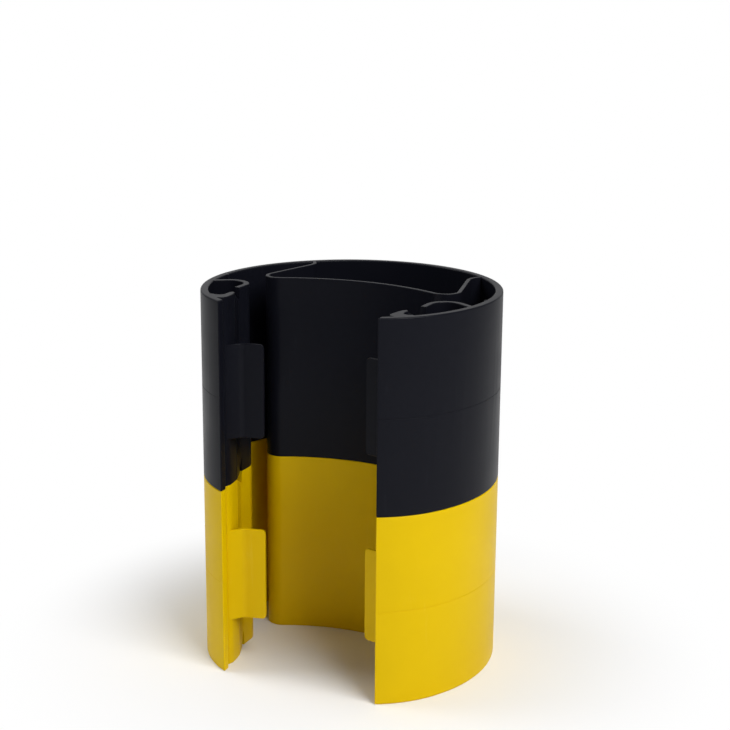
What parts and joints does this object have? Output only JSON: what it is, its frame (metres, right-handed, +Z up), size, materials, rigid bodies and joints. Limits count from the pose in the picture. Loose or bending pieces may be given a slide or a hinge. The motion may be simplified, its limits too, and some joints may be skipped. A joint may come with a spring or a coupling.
{
  "type": "rack column guard",
  "caption": "Clip-on tubular guard for the foot of a storage rack column: black over yellow ring mouldings with an open snap mouth and sprung inner ribs that absorb a knock.",
  "frame": {"origin": "on the surface that the guard stands on, at the middle of its width and of its depth", "axes": "+Z up along the tube, the open mouth faces -Y, +X to the right as seen from the mouth"},
  "size_m": [0.231, 0.2079, 0.294],
  "materials": {
    "yellow_plastic": "moulded, semi-gloss, signal yellow",
    "black_plastic": "moulded, semi-gloss, black"
  },
  "bodies": {
    "root": {"lower_guard": "yellow_plastic", "upper_guard": "black_plastic"}
  },
  "joints": []
}
